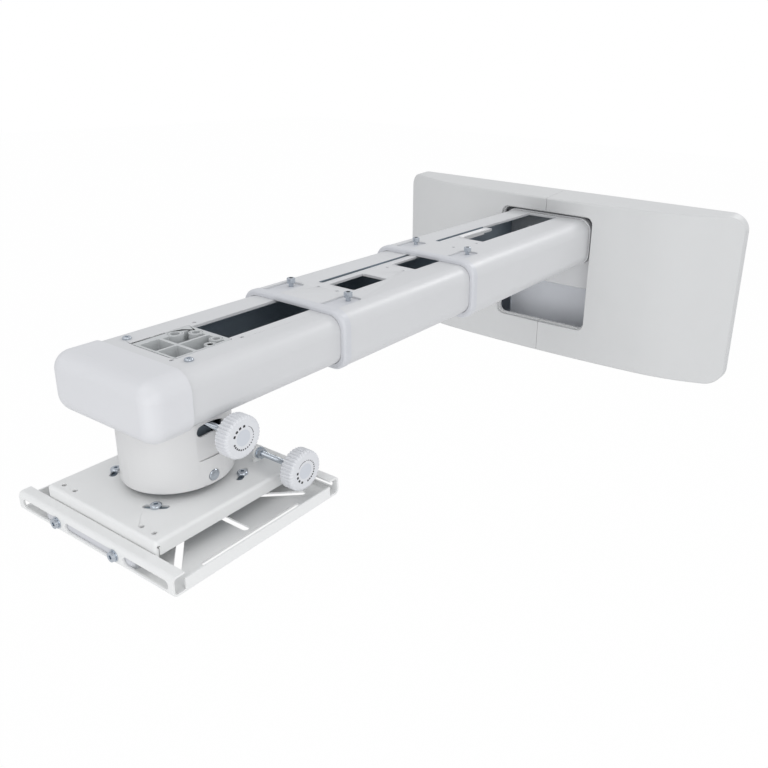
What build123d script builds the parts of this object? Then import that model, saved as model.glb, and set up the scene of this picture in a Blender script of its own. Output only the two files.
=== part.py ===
from build123d import *
from math import cos, radians, sin
import os

os.makedirs("parts", exist_ok=True)

# The wall is the plane Y = 0 and the arm reaches towards -Y. Z is up. The origin is the middle
# of the wall plate's rear face. Every "reach" is a distance from the wall, every "drop" a
# distance below the arm's centre line. Millimetres.

# Telescopic arm: three tubes, each in the one behind it with a sleeve between them. Each tube's
# place follows from the one behind it, so a longer tube carries the rest forward.
inner_width = 100
inner_height = 40
inner_corner = 12
inner_wall = 2.5
middle_wall = 2.5
middle_corner = 13
outer_wall = 3
outer_corner = 15
middle_sleeve_side = 1.5
outer_sleeve_side = 1
sleeve_flat = 1.25
middle_width = inner_width + 2 * (middle_sleeve_side + middle_wall)
middle_height = inner_height + 2 * (sleeve_flat + middle_wall)
outer_width = middle_width + 2 * (outer_sleeve_side + outer_wall)
outer_height = middle_height + 2 * (sleeve_flat + outer_wall)
rail_depth = 24
root_front = rail_depth + 13.5
outer_length = 268.5
middle_length = 297
inner_length = 300.5
middle_overlap = 121
inner_overlap = 135.5
outer_front = root_front + outer_length
middle_back = outer_front - middle_overlap
middle_front = middle_back + middle_length
inner_back = middle_front - inner_overlap
inner_front = inner_back + inner_length
running_gap = 0.06
corner_relief = 0.6
glide_length = 22

# Wall end
cover_half_width = 233
cover_half_height = 104
cover_depth = rail_depth + 29.5
cover_corner = 20
cover_draft = 4
cover_wall = 2.5
cover_gap = 0.15
arm_below_top = 53
arm_height = cover_half_height - arm_below_top
opening_gap = 4.5
opening_drop = 112
opening_width = outer_width + 2 * opening_gap
opening_top = arm_height + outer_height / 2 + opening_gap
opening_bottom = arm_height - opening_drop
opening_corner = 9
lip_step = 1.9
boss_x = cover_half_width - 96
boss_z = cover_half_height - 60
plate_half_width = cover_half_width - 20
plate_half_height = cover_half_height - 8
plate_thickness = 3
wall_hole = 8.5
wall_hole_span = 2 * plate_half_width - 106
wall_hole_rise = 2 * plate_half_height - 52
inner_hole_span = wall_hole_span - 100
inner_hole_rise = wall_hole_rise + 20
cable_hole_width = 66
cable_hole_height = 32
cable_hole_drop = 8
rail_sheet = 2.5
rail_lip = 13

# Carriage that carries the arm up and down
carriage_top = 26.5
carriage_bottom = -64
root_half_width = outer_width / 2 + 1.5
root_top = 27.5
root_bottom = -61.5
root_collar = 11
root_collar_wall = 1.6
rail_inner = root_half_width + 8.5
rail_outer = rail_inner + 18
carriage_half_width = rail_outer - rail_sheet - 0.3

# Collars on the tube ends, and the notches in the tubes that their tongues show through
collar_thickness = 7.5
collar_lap = 34
collar_proud = 0.4
notch_width = 18.5
notch_length = 31.5
tongue_sink = 1.5
clamp_screw_x = 31
clamp_screw_setback = 23.5
clamp_neck = 3

# Nose of the arm
cap_seam = inner_front - 26
cap_front = inner_front + 9.5
cap_width = inner_width + 3
cap_height = inner_height + 3
cap_corner = inner_corner + 1.5
cap_screw_x = 31.5
cap_screw_setback = 35.6
block_half_width = 22.8
block_near = inner_front - 31.5
block_far = block_near - 47
block_depth = 14

# Tilting head under the nose
axis_reach = inner_front - 43.5
housing_radius = 37.5
housing_wall = 3
housing_drop = inner_height / 2 + 50.5
housing_flat = housing_radius - 1.5
flat_drop = housing_drop - 20
pin_drop = housing_drop - 6.5
pin_diameter = 8
ring_radius = housing_radius - housing_wall - 3.5
ring_bore = ring_radius - 10
roll_pin_diameter = 6
roll_screw_drop = inner_height / 2 + 9
roll_screw_reach = axis_reach - 3
screw_rod = 4
knob_radius = 13.5
knob_length = 13.5
knob_mark_radius = knob_radius - 6.4
roll_knob_back = housing_radius + 14.3

# Head plate and its turntable
head_drop = housing_drop + 4.5
head_half_width = 57
head_half_depth = 62
head_sheet = 2
head_flange = 10
head_front_flange = 18.5
turntable_radius = 50.5
turntable_thickness = 4
head_bolt_circle = 44
head_bolt_angles = (-147, -57, 33, 123)
yaw_screw_drop = head_drop - 6.5
yaw_screw_reach = axis_reach - 44.5
yaw_knob_back = head_half_width + 7.6

# Tray that carries the projector
tray_left = -77
tray_right = 83.5
tray_half_depth = head_half_depth + 9.5
tray_top_drop = head_drop + 8
tray_slot_drop = tray_top_drop + 7
tray_floor_drop = tray_slot_drop + 7
tray_sheet = 1.6
tray_lip = 9
tray_end_lip = 9
tray_slots = ((-72.5, -30), (-24, 31), (36.5, 79))
tray_slot_height = 6.2
rail_screw_places = (-32.5, 28)
slide_bar_length = 92
slide_bar_middle = -2

arm = Plane(origin=(0, 0, arm_height), x_dir=(1, 0, 0), z_dir=(0, -1, 0))
arm_top = Plane.XY.offset(arm_height)


def below(drop):
    """Height of a level that lies this far below the arm's centre line."""
    return arm_height - drop


# Wall plate: a steel sheet screwed to the wall, with its long edges folded forward
with BuildPart() as wall_plate:
    with BuildSketch(Plane.XZ):
        RectangleRounded(2 * plate_half_width, 2 * plate_half_height, 7)
    extrude(amount=plate_thickness)
    for side in (-1, 1):
        with BuildSketch(Plane.XZ.offset(plate_thickness)):
            with Locations((0, side * (plate_half_height - 1))):
                Rectangle(2 * plate_half_width - 40, 2)
        extrude(amount=13)
    with BuildSketch(Plane.XZ):
        with Locations((0, arm_height - cable_hole_drop)):
            RectangleRounded(cable_hole_width + 10, cable_hole_height + 8, 6)
        with GridLocations(wall_hole_span, wall_hole_rise, 2, 2):
            Circle(wall_hole / 2)
        with GridLocations(inner_hole_span, inner_hole_rise, 2, 2):
            Circle(wall_hole / 2)
    extrude(amount=plate_thickness, mode=Mode.SUBTRACT)
wall_plate.part.label = "wall_plate"
export_step(wall_plate.part, "parts/wall_plate.step")

# Guide rails: two folded channels that hold the carriage by its edges
for side, name in ((-1, "guide_rail_left"), (1, "guide_rail_right")):
    with BuildPart() as guide_rail:
        with BuildSketch(Plane.XY.offset(-plate_half_height + 3)):
            with BuildLine():
                Polyline(
                    (side * rail_inner, -plate_thickness),
                    (side * rail_outer, -plate_thickness),
                    (side * rail_outer, -rail_depth),
                    (side * (rail_outer - rail_lip), -rail_depth),
                    (side * (rail_outer - rail_lip), -rail_depth + rail_sheet),
                    (side * (rail_outer - rail_sheet), -rail_depth + rail_sheet),
                    (side * (rail_outer - rail_sheet), -plate_thickness - rail_sheet),
                    (side * rail_inner, -plate_thickness - rail_sheet),
                    close=True,
                )
            make_face()
        extrude(amount=2 * plate_half_height - 6)
        outer_edges = guide_rail.edges().filter_by(Axis.Z).filter_by(
            lambda edge: abs(abs(edge.center().X) - rail_outer) < 0.01 and edge.center().Y < -rail_depth + 0.1
        )
        fillet(outer_edges, 1.5)
    guide_rail.part.label = name
    export_step(guide_rail.part, f"parts/{name}.step")

# Wall cover: two moulded halves, bowed in plan and drawn in towards the front, that meet above
# and below the opening for the arm. A lip stands a step behind the opening's edge.
for side, name in ((-1, "cover_left"), (1, "cover_right")):
    shells = []
    for inset, drop_in, end_in in ((cover_wall, 2.1, 1.4), (0, 0, 0)):
        with BuildPart() as shell_body:
            with BuildSketch(Plane.XZ):
                RectangleRounded(2 * (cover_half_width - inset), 2 * (cover_half_height - inset),
                                 cover_corner - inset)
            extrude(amount=cover_depth + 2, taper=cover_draft)
            with BuildSketch(Plane.XY.offset(-cover_half_height - 1)):
                with BuildLine():
                    crown = ThreePointArc(
                        (side * cover_gap, -cover_depth + inset),
                        (side * (opening_width / 2 + 5.5), -cover_depth + 1.3 + inset),
                        (side * (opening_width / 2 + 68.5), -cover_depth + 5 + inset),
                    )
                    shoulder = TangentArc(
                        crown @ 1,
                        (side * (cover_half_width + 2 - end_in), -12 + drop_in),
                        tangent=crown % 1,
                    )
                    Polyline(
                        shoulder @ 1,
                        (side * (cover_half_width + 2 - end_in), 0),
                        (side * cover_gap, 0),
                        crown @ 0,
                    )
                make_face()
            extrude(amount=2 * cover_half_height + 2, mode=Mode.INTERSECT)
            front_faces = shell_body.faces().filter_by(lambda face: face.normal_at().Y < -0.3)
            rim = front_faces.edges().filter_by(
                lambda edge: abs(edge.center().X) > 2
                and (abs(edge.center().Z) > 1 or abs(edge.center().X) > cover_half_width - 20)
            )
            fillet(rim, 2.8 if inset == 0 else 0.8)
        shells.append(shell_body.part)
    with BuildPart() as cover_half:
        add(shells[1])
        add(shells[0], mode=Mode.SUBTRACT)
        with BuildSketch(Plane.XZ.offset(cover_depth - 10)):
            with Locations((0, (opening_top + opening_bottom) / 2)):
                RectangleRounded(opening_width + 6, opening_top - opening_bottom + 6, opening_corner + 3)
            with Locations((side * (cover_gap - cover_half_width), 0)):
                Rectangle(2 * cover_half_width, 4 * cover_half_height, mode=Mode.SUBTRACT)
        extrude(amount=10 - cover_wall - 0.4)
        with BuildSketch(Plane.XZ.offset(cover_depth - 6)):
            with Locations((0, (opening_top + opening_bottom) / 2)):
                RectangleRounded(opening_width, opening_top - opening_bottom, opening_corner)
        extrude(amount=10, mode=Mode.SUBTRACT)
        with BuildSketch(Plane.XZ):
            with Locations((0, (opening_top + opening_bottom) / 2)):
                RectangleRounded(opening_width - 2 * lip_step, opening_top - opening_bottom - 2 * lip_step,
                                 opening_corner - lip_step)
        extrude(amount=cover_depth, mode=Mode.SUBTRACT)
        with BuildSketch(Plane.XZ.offset(plate_thickness)):
            with Locations((side * boss_x, boss_z), (side * boss_x, -boss_z)):
                Circle(5)
                Circle(2.2, mode=Mode.SUBTRACT)
        extrude(until=Until.NEXT)
    cover_half.part.label = name
    export_step(cover_half.part, f"parts/{name}.step")

# Carriage: a folded plate that slides in the guide rails
with BuildPart() as carriage:
    channel = rail_depth - plate_thickness - 2 * rail_sheet
    with BuildSketch(Plane.XY.offset(arm_height + carriage_bottom)):
        with Locations((0, -plate_thickness - rail_sheet - channel / 2)):
            Rectangle(2 * carriage_half_width, channel - 0.2)
        with Locations((0, -plate_thickness - rail_sheet)):
            Rectangle(2 * carriage_half_width - 6, 2 * channel - 6.2, mode=Mode.SUBTRACT)
    extrude(amount=carriage_top - carriage_bottom)
    with BuildSketch(arm):
        with Locations((0, -cable_hole_drop)):
            RectangleRounded(cable_hole_width, cable_hole_height, 5)
    extrude(amount=rail_depth, mode=Mode.SUBTRACT)
carriage.part.label = "carriage"
export_step(carriage.part, "parts/carriage.step")

# Arm root: a stiff box welded to the carriage, with a collar that takes the outer tube
with BuildPart() as arm_root:
    root_back = rail_depth - rail_sheet - 0.1
    with BuildSketch(arm.offset(root_back)):
        with Locations((0, (root_top + root_bottom) / 2)):
            RectangleRounded(2 * root_half_width, root_top - root_bottom, 6)
    extrude(amount=root_front - root_back)
    fillet(arm_root.faces().sort_by(Axis.Y)[0].edges(), 2)
    with BuildSketch(arm.offset(root_front)):
        RectangleRounded(outer_width + 2 * root_collar_wall, outer_height + 2 * root_collar_wall,
                         outer_corner + root_collar_wall)
        RectangleRounded(outer_width, outer_height, outer_corner, mode=Mode.SUBTRACT)
    extrude(amount=root_collar)
    with BuildSketch(arm):
        with Locations((0, -cable_hole_drop)):
            RectangleRounded(cable_hole_width, cable_hole_height, 5)
    extrude(amount=root_front, mode=Mode.SUBTRACT)
arm_root.part.label = "arm_root"
export_step(arm_root.part, "parts/arm_root.step")

# The three tubes of the arm, with the cable windows and narrow slots in their tops, each given
# by its distance back from the tube's front end. A notch on each side of the front end shows the
# collar's tongue under the clamp screw.
for name, back, front, width, height, corner, wall, windows, slots, holes, notched in (
    ("outer_tube", root_front, outer_front, outer_width, outer_height, outer_corner, outer_wall,
     ((4.4, 163, 26, 176), (-1.7, 194, 38.5, 114)), ((-20, 92, 3, 94),),
     ((16, 64.5), (7.7, 34)), True),
    ("middle_tube", middle_back, middle_front, middle_width, middle_height, middle_corner, middle_wall,
     ((5.5, 66.5, 27, 44), (5.5, 199.5, 27, 139)), ((-17.5, 153, 3, 218),),
     ((-10.5, 34), (10, 34), (-5, 119), (13.5, 119)), True),
    ("inner_tube", inner_back, inner_front, inner_width, inner_height, inner_corner, inner_wall,
     ((0, 154.5, 38, 247), (0, inner_front - (block_near + block_far) / 2,
                            2 * block_half_width + 0.4, block_near - block_far)),
     (), ((-24.5, 85), (24.5, 85), (22.3, 29.5)), False),
):
    with BuildPart() as tube:
        with BuildSketch(arm.offset(back)):
            RectangleRounded(width, height, corner)
            RectangleRounded(width - 2 * wall, height - 2 * wall, corner - wall, mode=Mode.SUBTRACT)
        extrude(amount=front - back)
        with BuildSketch(arm_top):
            for x, setback, across, along in windows:
                with Locations((x, setback - front)):
                    RectangleRounded(across, along, 1.5)
            for x, setback, across, along in slots:
                with Locations((x, setback - front)):
                    RectangleRounded(across, along, 1.4)
            with Locations(*[(x, setback - front) for x, setback in holes]):
                Circle(1.5)
            if notched:
                with Locations((-clamp_screw_x, -front + notch_length / 2 - 5),
                               (clamp_screw_x, -front + notch_length / 2 - 5)):
                    RectangleRounded(notch_width, notch_length + 10, 5)
            else:
                with Locations((-cap_screw_x, cap_screw_setback - front),
                               (cap_screw_x, cap_screw_setback - front)):
                    Circle(1.6)
        extrude(amount=height, mode=Mode.SUBTRACT)
    tube.part.label = name
    export_step(tube.part, f"parts/{name}.step")

# Cable clip: a white moulded strip hooked over the edge of the outer tube's window
with BuildPart() as cable_clip:
    clip_base = arm_height + outer_height / 2
    clip_place = 97 - outer_front
    with BuildSketch(Plane.XY.offset(clip_base)):
        with Locations((-9, clip_place)):
            RectangleRounded(5.4, 47, 2.2)
    extrude(amount=2.4)
    fillet(cable_clip.faces().sort_by(Axis.Z)[-1].edges(), 1)
    with BuildSketch(Plane.XY.offset(clip_base)):
        with Locations((-7.5, clip_place)):
            Rectangle(2.2, 40)
    extrude(amount=-outer_wall + 0.1)
cable_clip.part.label = "cable_clip"
export_step(cable_clip.part, "parts/cable_clip.step")

# Collars: moulded rings nearly flush with the tube ends, each with a sleeve that the next tube
# slides in and two sunk tongues that take the clamp screws
for name, front, hole, shell, body in (
    ("collar_outer", outer_front, (middle_width, middle_height, middle_corner),
     (outer_width - 2 * outer_wall, outer_height - 2 * outer_wall, outer_corner - outer_wall),
     (outer_width, outer_height, outer_corner)),
    ("collar_middle", middle_front, (inner_width, inner_height, inner_corner),
     (middle_width - 2 * middle_wall, middle_height - 2 * middle_wall, middle_corner - middle_wall),
     (middle_width, middle_height, middle_corner)),
):
    with BuildPart() as collar:
        with BuildSketch(arm.offset(front)):
            RectangleRounded(body[0] + 2 * collar_proud, body[1] + 2 * collar_proud, body[2] + collar_proud)
        extrude(amount=collar_thickness)
        fillet(collar.faces().sort_by(Axis.Y)[0].edges(), 2.5)
        with BuildSketch(arm.offset(front - collar_lap)):
            RectangleRounded(*shell)
        extrude(amount=collar_lap)
        with BuildSketch(arm_top.offset(shell[1] / 2 - 0.5)):
            with Locations((-clamp_screw_x, -front + notch_length / 2 - 0.1),
                           (clamp_screw_x, -front + notch_length / 2 - 0.1)):
                RectangleRounded(notch_width - 0.2, notch_length - 0.4, 4.9)
            with Locations((-clamp_screw_x, -front + 4), (clamp_screw_x, -front + 4)):
                Rectangle(notch_width - 0.2, 8)
        extrude(amount=body[1] / 2 - tongue_sink - shell[1] / 2 + 0.5)
        with BuildSketch(arm.offset(front - collar_lap)):
            RectangleRounded(hole[0] + 2 * running_gap, hole[1] + 2 * running_gap, hole[2] - corner_relief)
        extrude(amount=collar_lap + collar_thickness, mode=Mode.SUBTRACT)
        with BuildSketch(arm_top):
            with Locations((-clamp_screw_x, clamp_screw_setback - front),
                           (clamp_screw_x, clamp_screw_setback - front)):
                Circle(2.03)
        extrude(amount=body[1], mode=Mode.SUBTRACT)
    collar.part.label = name
    export_step(collar.part, f"parts/{name}.step")

# Clamp screws: socket head screws that press on the tube inside, their heads left proud
for name, front, body_height, tube_height in (
    ("clamp_screws_outer", outer_front, outer_height, middle_height),
    ("clamp_screws_middle", middle_front, middle_height, inner_height),
):
    head_base = arm_height + body_height / 2 - tongue_sink + clamp_neck
    shank_end = arm_height + tube_height / 2 + 0.1
    with BuildPart() as clamp_screws:
        places = [(x, clamp_screw_setback - front) for x in (-clamp_screw_x, clamp_screw_x)]
        with BuildSketch(Plane.XY.offset(head_base)):
            with Locations(*places):
                Circle(3.5)
        extrude(amount=4)
        chamfer(clamp_screws.faces().sort_by(Axis.Z)[-2:].edges(), 0.4)
        with BuildSketch(Plane.XY.offset(head_base + 4)):
            with Locations(*places):
                RegularPolygon(1.75, 6)
        extrude(amount=-2.2, mode=Mode.SUBTRACT)
        with BuildSketch(Plane.XY.offset(shank_end)):
            with Locations(*places):
                Circle(2)
        extrude(amount=head_base - shank_end)
    clamp_screws.part.label = name
    export_step(clamp_screws.part, f"parts/{name}.step")

# Glide rings on the rear ends of the two sliding tubes
for name, back, tube, shell in (
    ("glide_middle", middle_back, (middle_width, middle_height, middle_corner),
     (outer_width - 2 * outer_wall, outer_height - 2 * outer_wall, outer_corner - outer_wall)),
    ("glide_inner", inner_back, (inner_width, inner_height, inner_corner),
     (middle_width - 2 * middle_wall, middle_height - 2 * middle_wall, middle_corner - middle_wall)),
):
    with BuildPart() as glide:
        with BuildSketch(arm.offset(back)):
            RectangleRounded(shell[0] - 2 * running_gap, shell[1] - 2 * running_gap, shell[2] + corner_relief)
            RectangleRounded(*tube, mode=Mode.SUBTRACT)
        extrude(amount=glide_length)
    glide.part.label = name
    export_step(glide.part, f"parts/{name}.step")

# End cap: a moulded cup over the end of the inner tube, cut out below for the housing
with BuildPart() as end_cap:
    with BuildSketch(arm.offset(cap_seam)):
        RectangleRounded(cap_width, cap_height, cap_corner)
    extrude(amount=cap_front - cap_seam)
    fillet(end_cap.faces().sort_by(Axis.Y)[0].edges(), 11.5)
    with BuildSketch(arm.offset(cap_seam)):
        RectangleRounded(inner_width, inner_height, inner_corner)
    extrude(amount=inner_front - cap_seam, mode=Mode.SUBTRACT)
    with BuildSketch(Plane.XY.offset(arm_height)):
        with Locations((0, -axis_reach)):
            Circle(housing_radius + 0.15)
    extrude(amount=-cap_height, mode=Mode.SUBTRACT)
end_cap.part.label = "end_cap"
export_step(end_cap.part, "parts/end_cap.step")

# Cable block: thin ribs round four deep cells, with four ringed bosses, moulded in one piece
with BuildPart() as cable_block:
    block_top = Plane(origin=(0, -block_near, arm_height + inner_height / 2))
    block_length = block_near - block_far
    bosses = ((-15.7, 30.1, 6), (-7, 40.9, 5.2), (13.5, 41.1, 4.9), (18.6, 31.5, 4))
    with BuildSketch(block_top.offset(-block_depth)):
        with Locations((0, block_length / 2)):
            RectangleRounded(2 * block_half_width, block_length - 0.4, 2)
    extrude(amount=block_depth)
    with BuildSketch(block_top):
        with Locations((-6.7, 9.25), (12.3, 9.25)):
            RectangleRounded(17, 14.5, 0.6)
        with Locations((12.3, 30.7)):
            RectangleRounded(17, 23.4, 0.6)
        with Locations((-6.2, 30.5)):
            RectangleRounded(16, 23, 0.6)
        with Locations(*[(x, y) for x, y, radius in bosses]):
            Circle(1.5)
        for x, y, radius in bosses:
            with Locations((x, y)):
                Circle(radius, mode=Mode.SUBTRACT)
    extrude(amount=-block_depth + 2.5, mode=Mode.SUBTRACT)
    with BuildSketch(block_top):
        for x, y, radius in bosses:
            with Locations((x, y)):
                Circle(radius * 0.54)
        with Locations((-22.3, 8.1)):
            Rectangle(2.6, 14.5)
        with Locations((-22.3, 22.5)):
            Rectangle(2.6, 8)
        with Locations((-15, 40.5)):
            Rectangle(1.2, 9, rotation=-52)
    extrude(amount=-block_depth + 2.5, mode=Mode.SUBTRACT)
    with BuildSketch(block_top):
        for x, y, radius in bosses:
            with Locations((x, y)):
                Circle(radius * 0.86)
                Circle(radius * 0.76, mode=Mode.SUBTRACT)
    extrude(amount=-0.6, mode=Mode.SUBTRACT)
cable_block.part.label = "cable_block"
export_step(cable_block.part, "parts/cable_block.step")

# Cap screws: two small pan head screws that hold the block and the cap to the tube
with BuildPart() as cap_screws:
    cap_screw_places = [(x, cap_screw_setback - inner_front) for x in (-cap_screw_x, cap_screw_x)]
    with BuildSketch(Plane.XY.offset(arm_height + inner_height / 2)):
        with Locations(*cap_screw_places):
            Circle(3)
    extrude(amount=1.8)
    fillet(cap_screws.faces().sort_by(Axis.Z)[-2:].edges(), 0.9)
    with BuildSketch(Plane.XY.offset(arm_height + inner_height / 2 + 1.8)):
        with Locations(*cap_screw_places):
            Rectangle(3, 0.8)
            Rectangle(0.8, 3)
    extrude(amount=-1.1, mode=Mode.SUBTRACT)
    with BuildSketch(Plane.XY.offset(arm_height + inner_height / 2)):
        with Locations(*cap_screw_places):
            Circle(1.55)
    extrude(amount=-6)
cap_screws.part.label = "cap_screws"
export_step(cap_screws.part, "parts/cap_screws.step")

# Tilt housing: a cup fixed under the inner tube, flat on both sides, with an arc slot for the
# roll screw that is centred on the tilt pin
head_side = Plane(origin=(0, -axis_reach, below(pin_drop)), x_dir=(0, 1, 0), z_dir=(1, 0, 0))
slot_radius = pin_drop - roll_screw_drop
with BuildPart() as tilt_housing:
    housing_top = below(inner_height / 2)
    with BuildSketch(Plane.XY.offset(below(housing_drop))):
        with Locations((0, -axis_reach)):
            Circle(housing_radius)
    extrude(amount=housing_top - below(housing_drop))
    for side in (-1, 1):
        with BuildSketch(Plane.YZ.offset(side * housing_flat)):
            with Locations((-axis_reach, (housing_top + below(flat_drop)) / 2)):
                Rectangle(2 * housing_radius, housing_top - below(flat_drop))
        extrude(amount=side * 5, mode=Mode.SUBTRACT)
    fillet(tilt_housing.faces().sort_by(Axis.Z)[0].edges(), 1.5)
    with BuildSketch(Plane.XY.offset(below(housing_drop))):
        with Locations((0, -axis_reach)):
            Circle(housing_radius - housing_wall)
    extrude(amount=housing_top - below(housing_drop) - housing_wall, mode=Mode.SUBTRACT)
    with BuildSketch(head_side):
        with BuildLine():
            rod_path = CenterArc((0, 0), slot_radius, 76, 24)
        SlotArc(rod_path, 7.6)
    extrude(amount=housing_radius + 2, mode=Mode.SUBTRACT)
    with BuildSketch(head_side.offset(-housing_radius - 2)):
        Circle(pin_diameter / 2)
    extrude(amount=2 * housing_radius + 4, mode=Mode.SUBTRACT)
tilt_housing.part.label = "tilt_housing"
export_step(tilt_housing.part, "parts/tilt_housing.step")

# Tilt pins: two smooth stub pins, pressed in the housing wall
with BuildPart() as tilt_pins:
    for side in (-1, 1):
        with BuildSketch(head_side.offset(side * 23)):
            Circle(pin_diameter / 2)
        extrude(amount=side * (housing_radius + 0.5 - 23))
    ends = tilt_pins.faces().filter_by(lambda face: abs(face.center().X) > housing_radius)
    chamfer(ends.edges(), 0.4)
tilt_pins.part.label = "tilt_pins"
export_step(tilt_pins.part, "parts/tilt_pins.step")

# Tilt ring: swings on the tilt pins and carries the roll pin and the bearing of the roll screw
with BuildPart() as tilt_ring:
    with BuildSketch(Plane.XY.offset(below(pin_drop + 6))):
        with Locations((0, -axis_reach)):
            Circle(ring_radius)
            Circle(ring_bore, mode=Mode.SUBTRACT)
    extrude(amount=12)
    with BuildSketch(Plane.XY.offset(below(pin_drop - 6))):
        with Locations((25, -axis_reach)):
            RectangleRounded(7, 16, 1.5)
    extrude(amount=pin_drop - 6 - roll_screw_drop + 4.6)
    with BuildSketch(head_side.offset(-32)):
        Circle(pin_diameter / 2 + running_gap)
    extrude(amount=64, mode=Mode.SUBTRACT)
    with BuildSketch(arm.offset(axis_reach - 32)):
        with Locations((0, -pin_drop)):
            Circle(roll_pin_diameter / 2)
    extrude(amount=64, mode=Mode.SUBTRACT)
    with BuildSketch(Plane.YZ.offset(17)):
        with Locations((-roll_screw_reach, below(roll_screw_drop))):
            Circle(screw_rod / 2 + running_gap)
    extrude(amount=20, mode=Mode.SUBTRACT)
tilt_ring.part.label = "tilt_ring"
export_step(tilt_ring.part, "parts/tilt_ring.step")

# Roll pin: crosses the tilt ring from front to back
with BuildPart() as roll_pin:
    with BuildSketch(arm.offset(axis_reach - 31)):
        with Locations((0, -pin_drop)):
            Circle(roll_pin_diameter / 2)
    extrude(amount=62)
    chamfer(roll_pin.edges(), 0.4)
roll_pin.part.label = "roll_pin"
export_step(roll_pin.part, "parts/roll_pin.step")

# Roll post: hangs on the roll pin; the roll screw moves its upper end sideways, and its foot
# carries the turntable
with BuildPart() as roll_post:
    foot = below(head_drop + head_sheet)
    with BuildSketch(Plane.XY.offset(foot)):
        with Locations((0, -axis_reach)):
            RectangleRounded(18, 28, 3)
    extrude(amount=head_drop + head_sheet - 25.5)
    with BuildSketch(arm.offset(axis_reach - 22)):
        with Locations((0, -pin_drop)):
            Circle(roll_pin_diameter / 2 + running_gap)
    extrude(amount=44, mode=Mode.SUBTRACT)
    with BuildSketch(Plane.YZ.offset(-13)):
        with Locations((-roll_screw_reach, below(roll_screw_drop))):
            Circle(screw_rod / 2 + 0.6)
    extrude(amount=26, mode=Mode.SUBTRACT)
roll_post.part.label = "roll_post"
export_step(roll_post.part, "parts/roll_post.step")

# Turntable: a disc under the head plate, with the lug that the yaw screw pushes
with BuildPart() as turntable:
    with BuildSketch(Plane.XY.offset(foot - turntable_thickness)):
        with Locations((0, -axis_reach)):
            Circle(turntable_radius)
    extrude(amount=turntable_thickness)
    with BuildSketch(Plane.XY.offset(foot)):
        with Locations((0, -yaw_screw_reach)):
            Rectangle(5, 8.4)
    extrude(amount=head_drop + head_sheet - yaw_screw_drop + 4.2)
    with BuildSketch(Plane.YZ.offset(-5)):
        with Locations((-yaw_screw_reach, below(yaw_screw_drop))):
            Circle(screw_rod / 2 + 0.6)
    extrude(amount=10, mode=Mode.SUBTRACT)
    with BuildSketch(Plane.XY.offset(foot)):
        with Locations((0, -axis_reach)):
            with PolarLocations(head_bolt_circle, 4, head_bolt_angles[0]):
                Circle(2)
    extrude(amount=-turntable_thickness, mode=Mode.SUBTRACT)
turntable.part.label = "turntable"
export_step(turntable.part, "parts/turntable.step")

# Head plate: a folded steel pan with arc slots round the housing for its four bolts
with BuildPart() as head_plate:
    head_top = below(head_drop)
    with BuildSketch(Plane.XY.offset(head_top)):
        with Locations((0, -axis_reach)):
            RectangleRounded(2 * head_half_width, 2 * head_half_depth, 2.6)
    extrude(amount=-head_front_flange)
    fillet(head_plate.faces().sort_by(Axis.Z)[-1].edges(), 2.4)
    with BuildSketch(Plane.XY.offset(head_top - head_sheet)):
        with Locations((0, -axis_reach)):
            RectangleRounded(2 * (head_half_width - head_sheet), 2 * (head_half_depth - head_sheet), 0.6)
    extrude(amount=-head_front_flange, mode=Mode.SUBTRACT)
    for side in (-1, 1):
        with BuildSketch(Plane.YZ.offset(side * (head_half_width - head_sheet - 0.5))):
            with Locations((-axis_reach, head_top - head_flange - 10)):
                Rectangle(2 * head_half_depth - 2 * head_sheet - 1, 20)
        extrude(amount=side * 6, mode=Mode.SUBTRACT)
    corners = [
        (x, y - axis_reach)
        for x in (-head_half_width + 0.6, head_half_width - 0.6)
        for y in (-head_half_depth + 2.2, head_half_depth - 2.2)
    ]
    with BuildSketch(Plane.XY.offset(head_top - 4)):
        with Locations(*corners):
            Rectangle(6, 0.6)
    extrude(amount=-head_front_flange, mode=Mode.SUBTRACT)
    relief = [(y - axis_reach, head_top - 4) for y in (-head_half_depth + 2.2, head_half_depth - 2.2)]
    with BuildSketch(Plane.YZ.offset(-head_half_width - 1)):
        with Locations(*relief):
            Circle(0.9)
    extrude(amount=2 * head_half_width + 2, mode=Mode.SUBTRACT)
    with BuildSketch(Plane.XY.offset(head_top)):
        with Locations((0, -axis_reach)):
            Circle(22)
            with GridLocations(94.6, 2 * head_half_depth - 13, 2, 2):
                Circle(1.6)
            with GridLocations(70.5, 2 * head_half_depth - 13, 2, 2):
                Circle(1.6)
        for angle in head_bolt_angles:
            with BuildLine():
                bolt_path = CenterArc((0, -axis_reach), head_bolt_circle, angle - 8, 16)
            SlotArc(bolt_path, 4.6)
        with Locations((0, -yaw_screw_reach)):
            Rectangle(15, 10)
    extrude(amount=-head_sheet, mode=Mode.SUBTRACT)
    with BuildSketch(Plane.YZ.offset(30)):
        with Locations((-yaw_screw_reach, head_top + 1)):
            Rectangle(10, 4)
        with Locations((-yaw_screw_reach, below(yaw_screw_drop))):
            Circle(5)
        with Locations((-yaw_screw_reach, head_top - 10)):
            Rectangle(30, 20, mode=Mode.SUBTRACT)
        with Locations((-yaw_screw_reach, below(yaw_screw_drop))):
            Circle(screw_rod / 2 + running_gap, mode=Mode.SUBTRACT)
    extrude(amount=2)
    for side in (-1, 1):
        with BuildSketch(Plane.XZ.offset(axis_reach + side * (head_half_depth + 2))):
            with Locations(*[(x, below(tray_slot_drop)) for x in rail_screw_places]):
                Circle(2.05)
        extrude(amount=-side * 8, mode=Mode.SUBTRACT)
head_plate.part.label = "head_plate"
export_step(head_plate.part, "parts/head_plate.step")

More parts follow.
